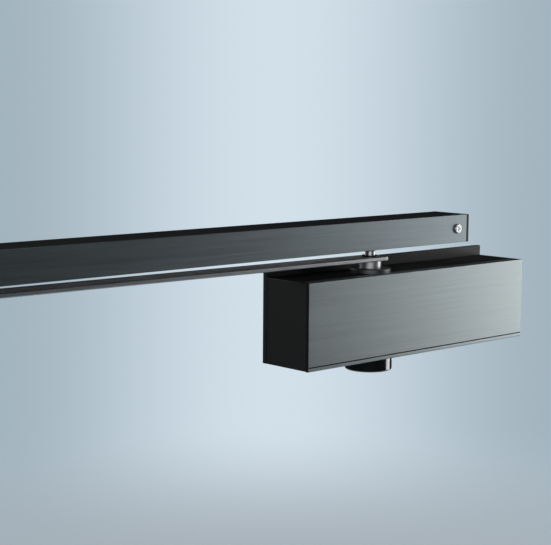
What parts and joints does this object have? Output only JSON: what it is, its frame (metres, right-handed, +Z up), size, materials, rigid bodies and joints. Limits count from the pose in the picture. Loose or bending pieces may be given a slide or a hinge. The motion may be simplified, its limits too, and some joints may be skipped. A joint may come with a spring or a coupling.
{
  "type": "door closer",
  "caption": "Surface-mounted door closer with a guide rail: a spring and oil piston turn a spindle whose arm slides along the rail and shuts the door.",
  "frame": {"origin": "centre of the four door holes, on the mounting plate's back face", "axes": "+X along the door towards its hinges, +Y into the door, +Z up; the door is closed"},
  "size_m": [0.5003, 0.0655, 0.1066],
  "materials": {
    "brushed_gunmetal": "brushed along its length, dark grey anodised",
    "black_metal": "satin black powder coat",
    "black_housing": "satin black",
    "black_anodised": "satin black anodised",
    "black_plastic": "fine texture",
    "plain_steel": "ground",
    "arm_steel": "dark nickel, brushed",
    "bright_screw": "bright",
    "bronze": "satin",
    "seal_rubber": "matt",
    "white_nylon": "matt"
  },
  "bodies": {
    "closer_body": {"mounting_plate": "black_metal", "housing": "black_housing", "front_cover": "brushed_gunmetal", "end_cap_left": "black_plastic", "end_cap_right": "black_plastic", "bore_plug_left": "plain_steel", "bore_plug_right": "plain_steel", "plug_rings": "seal_rubber", "spring_seat": "plain_steel", "closing_spring": "plain_steel", "upper_bush": "bronze", "upper_seal": "seal_rubber", "upper_retainer": "black_metal", "lower_bush": "bronze", "lower_seal": "seal_rubber", "lower_retainer": "black_metal", "lower_cap": "black_plastic", "housing_screws": "plain_steel"},
    "piston": {"piston": "plain_steel", "piston_seals": "seal_rubber", "check_ball": "plain_steel", "check_retainer": "plain_steel"},
    "sweep_valve": {"sweep_valve": "bronze"},
    "latch_valve": {"latch_valve": "bronze"},
    "spindle_arm": {"pinion_shaft": "plain_steel", "arm": "arm_steel", "arm_washer": "black_metal", "arm_screw": "bright_screw", "slider_pin": "plain_steel", "pin_clip": "plain_steel"},
    "slider": {"slider_block": "white_nylon", "slider_bush": "bronze"},
    "rail": {"rail_channel": "black_anodised", "rail_trim": "brushed_gunmetal", "rail_end_cap_left": "black_plastic", "rail_end_cap_right": "black_plastic", "rail_screws": "bright_screw", "rail_stops": "seal_rubber"}
  },
  "joints": [
    {"name": "spindle_turn", "type": "hinge", "parent": "closer_body", "child": "spindle_arm", "pos_m": [-0.0345, -0.02475, 0], "axis": [0, 0, 1], "range_deg": [-155, 0], "stiffness_Nm_per_rad": 6, "springref_deg": 34.38},
    {"name": "piston_slide", "type": "slide", "parent": "closer_body", "child": "piston", "axis": [1, 0, 0], "range_m": [0, 0.0217], "deforming": ["closing_spring"]},
    {"name": "slider_swivel", "type": "hinge", "parent": "spindle_arm", "child": "slider", "pos_m": [-0.33937, -0.0159, 0], "axis": [0, 0, 1], "range_deg": [0, 45]},
    {"name": "rail_slide", "type": "slide", "parent": "slider", "child": "rail", "axis": [1, 0, 0], "range_m": [-0.367, 0.01]},
    {"name": "sweep_valve_turn", "type": "hinge", "parent": "closer_body", "child": "sweep_valve", "pos_m": [0.05, -0.043, 0.021], "axis": [0, 1, 0], "range_deg": [-180, 180]},
    {"name": "latch_valve_turn", "type": "hinge", "parent": "closer_body", "child": "latch_valve", "pos_m": [0.07, -0.043, 0.021], "axis": [0, 1, 0], "range_deg": [-180, 180]}
  ],
  "couplings": [
    {"joint": "piston_slide", "follows": "spindle_turn", "m_per_rad": -0.008}
  ]
}
